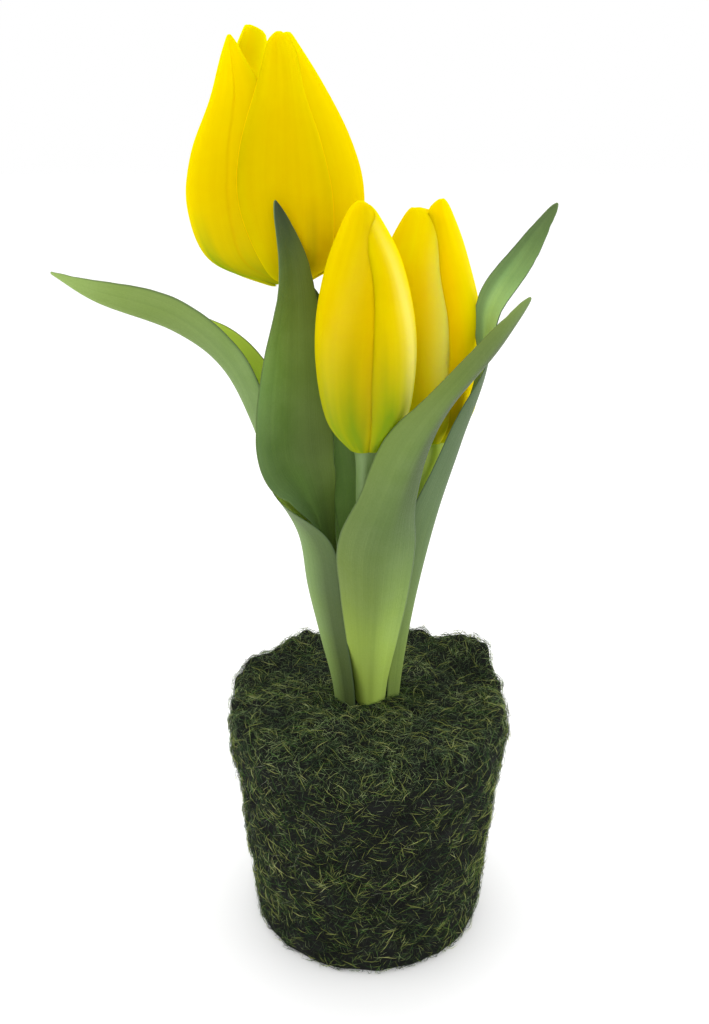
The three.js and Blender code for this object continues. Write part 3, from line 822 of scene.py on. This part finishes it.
# Outlines of the pistil and of a stamen: radius and height
heartShape = {
    "pistil": [(0, 0), (1.1, 0), (1.6, 4.3), (1.4, 13.6), (3, 15.6), (2.7, 17), (0, 16)],
    "stamen": [(0, 0), (0.55, 0), (0.55, 7.5), (1.15, 9.3), (1.15, 14.7), (0, 16.5)],
    "stamens": 6,
    "stamenLean": 14.5,
    "stamenFoot": (0.8, 0, 0.6),
    "aboveFoot": 1.35,
    "around": 16,
}


def placeKey(point):
    return round(point.z, 3) * 1e6 + round(point.y, 3) * 1e3 + round(point.x, 3)


def spunShape(outline, around):
    bm = bmesh.new()
    verts = [bm.verts.new((radius, 0, height)) for radius, height in outline]
    edges = [bm.edges.new(pair) for pair in zip(verts, verts[1:])]
    bmesh.ops.spin(bm, geom=verts + edges, cent=(0, 0, 0), axis=(0, 0, 1), angle=2 * math.pi,
                   steps=around, use_merge=True)
    bmesh.ops.remove_doubles(bm, verts=bm.verts, dist=0.001)
    bmesh.ops.recalc_face_normals(bm, faces=bm.faces)
    # sorted by place: what is scattered over the shape depends on the order of its faces
    bm.verts.sort(key=lambda vert: placeKey(vert.co))
    bm.faces.sort(key=lambda face: placeKey(face.calc_center_median()))
    return bm


def joinShape(target, bm, place):
    bm.transform(place)
    mesh = meshFrom("part", bm)
    target.from_mesh(mesh)
    bpy.data.meshes.remove(mesh)


heartSkin = patchyMaterial("heartSkin", 0.65, 0.3, 2.0,
                           [(150, 162, 70), (196, 184, 84), (112, 112, 40)], 0.4, (0.4, 0.1))
for name, bloom in blooms.items():
    foot, axis, height, upright = standOf(bloom)
    stand = Matrix.Scale(mm, 4) @ Matrix.Translation(foot + axis * heartShape["aboveFoot"])
    stand = stand @ upright.to_matrix().to_4x4()
    leaned = Matrix.Rotation(math.radians(heartShape["stamenLean"]), 4, "Y")
    bm = bmesh.new()
    joinShape(bm, spunShape(heartShape["pistil"], heartShape["around"]), stand)
    for number in range(heartShape["stamens"]):
        way = math.radians(360 / heartShape["stamens"] * (number + 0.5))
        turned = Matrix.Rotation(way, 4, "Z")
        place = stand @ turned @ Matrix.Translation(heartShape["stamenFoot"]) @ leaned
        joinShape(bm, spunShape(heartShape["stamen"], heartShape["around"] // 2), place)
    piece = newPiece(f"heartParts_{name}", bm, [heartSkin], f"heart_{name}")
    smoothPiece(piece)
print("stage: the hearts are made")

# Stems

stemShape = {
    "radius": 3.1,
    "flare": 0.75,  # how far the top spreads out to carry the petals
    "flareLength": 7,
    "ribs": 0.1,
    "ribCount": 5,
    "neckStart": 4,  # the path ends along the bloom's axis, from here below its foot
    "neck": 1,  # to here above it
    "pace": 0.5,
    "columns": 24,
    "lengthwise": 60,
}
# name: the points of the path, and how strong the painted light on the top is, yellow as it
# falls through the leaves
stems = {
    "tall": ([(-4, 7, 57), (-4.4, 7.1, 80), (-8.8, 8.4, 115), (-15.5, 9.8, 160)], 0),
    "front": ([(0.6, -1.4, 57), (0.5, -1.6, 80), (-0.4, -6, 110), (-1, -11.4, 138)], 0),
    "right": ([(4.9, 7.1, 57), (5, 7.3, 80), (7.6, 9, 105), (12.2, 9.4, 135)], 0.9),
}


def stemMaterial(name, yellow):
    material, tree, shader = newMaterial(f"stemSkin_{name}", 0.5, 0.4)
    skin = bladePatterns(tree, veins=34.0, run=3.0, mottleSize=7.0)
    colour = colourRamp(tree, skin["Upward"], [
        (0.0, (120, 146, 76)), (0.5, (114, 140, 76)), (0.93, (112, 138, 76)),
        (0.97, (106, 136, 50)), (1.0, (96, 134, 26))])
    # the top: painted yellow light that falls through the leaves
    top = colourRamp(tree, skin["Upward"], [(0.5, (0, 0, 0)), (0.75, (255, 255, 255))])
    colour = layColours(tree, colour, [
        (skin["Bands"], 0.4, (92, 120, 64)),
        (skin["Veins"], 0.2, (80, 106, 52)),
        (skin["Patches"], 0.3, (138, 160, 112)),
        (top, yellow, (170, 194, 58)),
    ])
    feed(tree, shader.inputs["Base Color"], colour)
    addRelief(tree, shader, 0.35, 0.12, (skin["Veins"], 1.0), (skin["Grain"], 0.4))
    return material


for name, (points, yellow) in stems.items():
    foot, axis = standOf(blooms[name])[:2]
    path = [Vector(point) for point in points]
    path += [foot - axis * stemShape["neckStart"], foot + axis * stemShape["neck"]]
    bm = bladeGrid(stemShape)
    for vert in bm.verts:
        angle, along = math.pi * vert.co.x, (vert.co.y + 1) / 2
        centre = curveThrough(path, along, stemShape["pace"])
        forward = curveDirection(path, along, stemShape["pace"])
        below = (path[-1] - centre).length
        radius = stemShape["radius"] + stemShape["ribs"] * math.cos(stemShape["ribCount"] * angle)
        radius += stemShape["flare"] * max(1 - below / stemShape["flareLength"], 0) ** 2
        sideways = forward.cross(Vector((0, 1, 0))).normalized()
        outward = sideways * math.cos(angle) + forward.cross(sideways) * math.sin(angle)
        vert.co = (centre + outward * radius) * mm
    bmesh.ops.remove_doubles(bm, verts=bm.verts, dist=0.02 * mm)
    bmesh.ops.holes_fill(bm, edges=[edge for edge in bm.edges if edge.is_boundary], sides=0)
    bmesh.ops.recalc_face_normals(bm, faces=bm.faces)
    skin = stemMaterial(name, yellow)
    piece = newPiece(f"stemTube_{name}", bm, [skin], f"stem_{name}")
    smoothPiece(piece)
print("stage: the stems are made")

# Root ball

rootBall = {
    "topRadius": 45,
    "footRadius": 37.9,
    "height": 78.4,
    "rimRound": 3.6,
    "footRound": 2.0,
    "around": 132,
    "sideSteps": 34,
    "cornerSteps": 4,
    "topRings": 20,
    # the large lumps: height, waves per mm and start along X, Y and Z
    "lumps": [
        (0.8, (0.21, 0.17, 0.19), (1.1, -0.4, 2.0)),
        (0.9, (0.47, 0.52, 0.44), (0.3, 1.9, 0.8)),
        (0.65, (0.93, 0.88, 0.81), (2.2, 0.6, 1.3)),
    ],
    # clods of moss and peat all over, and more of them along the rim: height and size
    "clods": (0.7, 8),
    "grain": (0.5, 3),
    "rimClods": (3.4, 7),
    "rimRise": 0.6,  # how much higher the rim stands
    "backRise": 1.0,  # and how much more at the back
    "backAt": 30,
    # where the rim bulges: x, y, how far around, how much
    "humps": [(35, 28, 11, 5.5), (41, 20, 8, 3.6), (16, 41, 7, 1.2), (-26, 36, 7, 2.8),
              (-40, 20, 8, 2.8)],
    "humpOut": 0.4,  # how much of a bulge goes outwards
    "humpUp": 0.7,  # and how much of it up
    "sink": 0.9,  # how far the body lies under the tips of its strands
    "calmFoot": (0.2, 8),  # the lumps' share at the floor, and the height of their full share
    "floorGap": 0.05,
}

# Where the moss grows. Each pair is where a cover starts and over what length it comes in.
mossCover = {
    "top": (9, 7),  # below the top
    "rim": (34, 7),  # from the axis
    "fuzz": (8, 8),  # above the floor
    "stems": (9, 5),  # around each stem and leaf, inwards
    "stemsDepth": 4,  # below the top
    "thinFoot": (0.6, 2),  # the share at the floor, and the height of the full share
    "usual": 0.95, "patches": 1.1, "patchSize": 7, "least": 0.1,
    "crownSides": 0.14, "crownTop": 0.78,
}

# Each kind: strands per square centimetre, their size, how far they lean out, turn and rise,
# where they grow (a value on the body), and their colours from dark to light.
mossKinds = {
    # deep: the moss's own dark strands; their near-black is partly painted shade between the
    # strands
    "deep": {"perCm2": 44, "size": (0.5, 1.1), "lean": 18, "turn": 90, "rise": 0.2, "cover": "all",
             "colours": [(7, 9, 9), (18, 22, 20), (56, 62, 46)], "seed": 3},
    "green": {"perCm2": 24, "size": (0.5, 1.2), "lean": 20, "turn": 85, "rise": 0.6, "cover": "all",
              "colours": [(18, 44, 16), (42, 76, 32), (108, 150, 62)], "seed": 7},
    "olive": {"perCm2": 32, "size": (0.35, 1.2), "lean": 20, "turn": 80, "rise": 0.8,
              "cover": "all", "colours": [(26, 34, 16), (72, 88, 40), (158, 172, 86)], "seed": 11},
    "straw": {"perCm2": 9, "size": (0.4, 1.3), "lean": 24, "turn": 80, "rise": 1.0, "cover": "all",
              "colours": [(110, 120, 54), (164, 174, 90), (212, 216, 140)], "seed": 13},
    # the strands on top: bits of moss, made lighter to paint the light from above
    "crumb": {"perCm2": 112, "size": (0.3, 0.75), "lean": 45, "turn": 180, "rise": 0.9,
              "cover": "crown", "colours": [(48, 72, 50), (126, 150, 96), (200, 218, 148)],
              "seed": 17},
    "fresh": {"perCm2": 110, "size": (0.4, 0.9), "lean": 55, "turn": 180, "rise": 0.8,
              "cover": "nearStems", "colours": [(50, 74, 16), (84, 112, 28), (126, 148, 48)],
              "seed": 23},
    "fuzz": {"perCm2": 2.2, "size": (0.5, 1.1), "lean": 75, "turn": 180, "rise": 0.5,
             "cover": "sides", "colours": [(120, 128, 96), (170, 176, 148), (206, 210, 190)],
             "seed": 31, "length": 6, "thickness": 0.07},
}
strand = {
    "length": 4.8,
    "thickness": 0.17,
    "taper": 0.75,
    # how far the strands of a family bend sideways and arch up
    "bends": [(0.2, 0.2), (-0.25, 0.3), (0.1, 0.5), (0.35, 0.2), (-0.3, 0.2), (0, 0.1), (0.5, 0.3),
              (-0.1, 0.2)],
    "seeds": {"turn": 5, "size": 9, "choice": 13, "tone": 21},
    "floorGap": 0.1,
}


def mossMaterial(name, colours):
    material, tree, shader = newMaterial(name, 0.75, 0.25)
    skin = mottlePatterns(tree, 11.0)
    tone = doMath(tree, "ADD", times(tree, readValue(tree, "tone"), 0.65),
                  times(tree, skin["Patches"], 0.35))
    colour = colourRamp(tree, tone, list(zip((0.05, 0.6, 0.9), colours)))
    colour = layColours(tree, colour, [(skin["Grain"], 0.35, colours[0])])
    feed(tree, shader.inputs["Base Color"], colour)
    varyRoughness(tree, shader, skin["Grain"], 0.65, 0.85)
    return material


def bodyOutline():
    top, foot, height = rootBall["topRadius"], rootBall["footRadius"], rootBall["height"]
    rim, footRound = rootBall["rimRound"], rootBall["footRound"]
    steps, sideSteps, rings = rootBall["cornerSteps"], rootBall["sideSteps"], rootBall["topRings"]
    outline = [(0, 0), (0.5 * foot, 0)]
    for step in range(steps + 1):
        angle = math.radians(-90 + 90 * step / steps)
        outline.append((foot - footRound + footRound * math.cos(angle),
                        footRound + footRound * math.sin(angle)))
    for step in range(1, sideSteps):
        share = step / sideSteps
        outline.append((mixValue(foot, top, share), mixValue(footRound, height - rim, share)))
    for step in range(steps + 1):
        angle = math.radians(90 * step / steps)
        outline.append((top - rim + rim * math.cos(angle), height - rim + rim * math.sin(angle)))
    for ring in range(rings - 1, -1, -1):
        outline.append(((top - rim) * ring / rings, height))
    return outline


def lumpAt(point):
    total = 0
    for height, turns, starts in rootBall["lumps"]:
        waves = (math.sin(turn * part + start) for turn, part, start in zip(turns, point, starts))
        total += height * math.prod(waves)
    return total


def clodAt(point, size):
    # rounded clods: high in the middle of each cell, low between cells
    near, following = noise.voronoi(point / size)[0][:2]
    return min((following - near) * 1.6, 1.0) - 0.5


def comesIn(past, cover):
    # 0 to 1 over the cover's length
    return mixValue(0, 1, past / mossCover[cover][1])


def topShares(point):
    # how far a point is on the top, and how far on its rim
    onTop = comesIn(point.z - rootBall["height"] + mossCover["top"][0], "top")
    return onTop, onTop * comesIn(point.xy.length - mossCover["rim"][0], "rim")


def coversAt(point, onTop):
    footShare, footHeight = mossCover["thinFoot"]
    patch = mossCover["usual"] + mossCover["patches"] * noise.noise(point / mossCover["patchSize"])
    nearest = min((point.xy - foot).length for foot in slots)
    deep = point.z <= rootBall["height"] - mossCover["stemsDepth"]
    return {
        "all": mixValue(footShare, 1, point.z / footHeight) * max(patch, mossCover["least"]),
        "crown": mossCover["crownSides"] + mossCover["crownTop"] * onTop,
        "sides": (1 - onTop) * comesIn(point.z - mossCover["fuzz"][0], "fuzz"),
        "nearStems": 0 if deep else comesIn(mossCover["stems"][0] - nearest, "stems"),
    }


def bodyPoint(point, onRim):
    outward = (point - middle).normalized()
    clods, clodSize = rootBall["clods"]
    grain, grainSize = rootBall["grain"]
    rimClods, rimClodSize = rootBall["rimClods"]
    height = lumpAt(point) - rootBall["sink"]
    height += clods * clodAt(point, clodSize) + grain * noise.noise(point / grainSize)
    height += rimClods * onRim * clodAt(point + Vector((3, 8, 1)), rimClodSize)
    backShare = mixValue(0, 1, point.y / rootBall["backAt"])
    rise = onRim * (rootBall["rimRise"] + rootBall["backRise"] * backShare)
    for x, y, spread, hump in rootBall["humps"]:
        near = (point - Vector((x, y, rootBall["height"]))).length / spread
        height += rootBall["humpOut"] * hump * math.exp(-near ** 2)
        rise += rootBall["humpUp"] * hump * math.exp(-near ** 2)
    calmShare, calmHeight = rootBall["calmFoot"]
    calm = mixValue(calmShare, 1, point.z / calmHeight)
    shaped = point + (outward * height * calm + upAxis * rise)
    shaped.z = max(shaped.z, rootBall["floorGap"])
    return shaped


bodyPeat = patchyMaterial("peatUnderMoss", 0.95, 0.15, 5.0,
                          [(14, 15, 17), (28, 30, 30), (42, 44, 36)], 0.5, (0.9, 0.5))
bm = spunShape(bodyOutline(), rootBall["around"])
covers = {name: bm.verts.layers.float.new(name) for name in ("all", "crown", "sides", "nearStems")}
middle = Vector((0, 0, rootBall["height"] / 2))
# where the stems and leaves come out of the moss: the second point of each one's path
slots = [Vector(points[1][:2]) for points, yellow in stems.values()]
slots += [Vector(leaf["rows"][1][:2]) for leaf in leaves.values()]
for vert in bm.verts:
    point = vert.co.copy()
    onTop, onRim = topShares(point)
    for name, value in coversAt(point, onTop).items():
        vert[covers[name]] = value
    # the underside stays flat
    vert.co = (bodyPoint(point, onRim) if point.z > 0.01 else point) * mm
body = newPiece("mossBody", bm, [bodyPeat], "root_ball")
smoothPiece(body)
print("stage: the root ball's body is made")

# Moss


def makeStrand(name, length, thickness, bend, arch, material):
    # one bent strand along X with both ends drawn out, lying on the XY plane
    bm = bmesh.new()
    bmesh.ops.create_cone(bm, cap_ends=True, segments=3, radius1=0.5, radius2=0.5, depth=1)
    upright = [edge for edge in bm.edges if abs(edge.verts[0].co.z - edge.verts[1].co.z) > 0.5]
    bmesh.ops.subdivide_edges(bm, edges=upright, cuts=1, use_grid_fill=True)
    for vert in bm.verts:
        along = vert.co.z
        fullness = 1 - strand["taper"] * (2 * along) ** 2
        bow = 1 - 4 * along ** 2
        y = vert.co.x * thickness * fullness + bend * bow
        z = vert.co.y * thickness * fullness + arch * bow
        vert.co = Vector((along * length, y, z)) * mm
    mesh = meshFrom(name, bm)
    mesh.materials.append(material)
    return bpy.data.objects.new(name, mesh)


def scatterTree():
    tree = bpy.data.node_groups.new("scatterStrands", "GeometryNodeTree")
    kinds = {"Surface": "Geometry", "Strands": "Collection", "Cover": "String", "Density": "Float",
             "Seed": "Int", "Smallest": "Float", "Largest": "Float", "Lean": "Float",
             "Turn": "Float", "Rise": "Float"}
    sockets = {}
    for label, kind in kinds.items():
        socket = tree.interface.new_socket(label, in_out="INPUT", socket_type=f"NodeSocket{kind}")
        sockets[label] = socket.identifier
    tree.interface.new_socket("Moss", in_out="OUTPUT", socket_type="NodeSocketGeometry")
    inside, out = addNode(tree, "NodeGroupInput").outputs, addNode(tree, "NodeGroupOutput").inputs

    def add(kind, inputs, **settings):
        return wire(tree, kind, inputs, **settings)

    def randomValue(kind, low, high, firstInput, seed=0):
        inputs = {firstInput: low, firstInput + 1: high, "Seed": seed}
        return add("FunctionNodeRandomValue", inputs, data_type=kind)

    # points all over the body, lifted off it by a little each
    cover = add("GeometryNodeInputNamedAttribute", {"Name": inside["Cover"]}, data_type="FLOAT")
    density = times(tree, cover["Attribute"], inside["Density"])
    points = add("GeometryNodeDistributePointsOnFaces", {
        "Mesh": inside["Surface"], "Density": density, "Seed": inside["Seed"]},
        distribute_method="RANDOM")
    normal = points["Normal"]
    lift = randomValue("FLOAT", 0.0, inside["Rise"], 2)[1]
    offset = add("ShaderNodeVectorMath", {0: normal, "Scale": lift}, operation="SCALE")[0]
    raised = add("GeometryNodeSetPosition", {"Geometry": points["Points"], "Offset": offset})[0]

    # each strand lies on the body, level, and is then turned by chance
    standing = add("FunctionNodeAlignRotationToVector", {"Vector": normal}, axis="Z")[0]
    level = add("ShaderNodeVectorMath", {0: upAxis, 1: normal}, operation="CROSS_PRODUCT")[0]
    lying = add("FunctionNodeAlignRotationToVector", {"Rotation": standing, "Vector": level},
                axis="X", pivot_axis="Z")[0]
    halfLean = times(tree, inside["Lean"], 0.5)
    widest = add("ShaderNodeCombineXYZ", {0: halfLean, 1: inside["Lean"], 2: inside["Turn"]})[0]
    narrowest = add("ShaderNodeVectorMath", {0: widest, "Scale": -1}, operation="SCALE")[0]
    turn = randomValue("FLOAT_VECTOR", narrowest, widest, 0, strand["seeds"]["turn"])[0]
    turned = add("FunctionNodeRotateRotation", {0: lying, 1: turn}, rotation_space="LOCAL")[0]

    size = randomValue("FLOAT", inside["Smallest"], inside["Largest"], 2, strand["seeds"]["size"])
    choice = randomValue("INT", 0, 5000, 4, strand["seeds"]["choice"])
    family = add("GeometryNodeCollectionInfo", {
        "Separate Children": True, "Reset Children": True, "Collection": inside["Strands"]})[0]
    placed = add("GeometryNodeInstanceOnPoints", {
        "Pick Instance": True, "Points": raised, "Instance": family,
        "Instance Index": choice[2], "Rotation": turned, "Scale": size[1]})[0]
    tone = randomValue("FLOAT", 0.0, 1.0, 2, strand["seeds"]["tone"])[1]
    toned = add("GeometryNodeStoreNamedAttribute", {
        "Name": "tone", "Geometry": placed, "Value": tone}, data_type="FLOAT", domain="INSTANCE")[0]
    real = add("GeometryNodeRealizeInstances", {0: toned})[0]

    # nothing reaches below the floor
    place = add("ShaderNodeSeparateXYZ", {0: add("GeometryNodeInputPosition", {})[0]})
    height = doMath(tree, "MAXIMUM", place[2], strand["floorGap"] * mm)
    above = add("ShaderNodeCombineXYZ", {0: place[0], 1: place[1], 2: height})[0]
    settled = add("GeometryNodeSetPosition", {"Geometry": real, "Position": above})[0]
    feed(tree, out[0], settled)
    return tree, sockets


def strandFamily(name, kind, material):
    family = bpy.data.collections.new(f"strands_{name}")
    length = kind.get("length", strand["length"])
    thickness = kind.get("thickness", strand["thickness"])
    for number, (bend, arch) in enumerate(strand["bends"]):
        label = f"strands_{name}_{number}"
        family.objects.link(makeStrand(label, length, thickness, bend, arch, material))
    return family


def growMoss(name, kind):
    # scatters the strands over the body, then keeps the result as a plain mesh
    material = mossMaterial(f"moss_{name}", kind["colours"])
    values = {
        "Strands": strandFamily(name, kind, material), "Cover": kind["cover"],
        "Density": kind["perCm2"] * 10000.0, "Seed": kind["seed"],
        "Smallest": kind["size"][0], "Largest": kind["size"][1],
        "Lean": math.radians(kind["lean"]), "Turn": math.radians(kind["turn"]),
        "Rise": kind["rise"] * mm,
    }
    carrier = putInScene("carrier", body.data)
    modifier = carrier.modifiers.new("scatter", "NODES")
    modifier.node_group = scatter
    for label, value in values.items():
        modifier[scatterSockets[label]] = value
    carrier.update_tag()
    shaped = carrier.evaluated_get(bpy.context.evaluated_depsgraph_get())
    mesh = bpy.data.meshes.new_from_object(shaped)
    bpy.data.objects.remove(carrier)
    triangles = sum(len(polygon.vertices) - 2 for polygon in mesh.polygons)
    print(f"  mossStrands_{name}: {triangles} triangles")
    addPiece(f"mossStrands_{name}", mesh, [material])


scatter, scatterSockets = scatterTree()
for name, kind in mossKinds.items():
    growMoss(name, kind)
print("stage: the moss has grown")
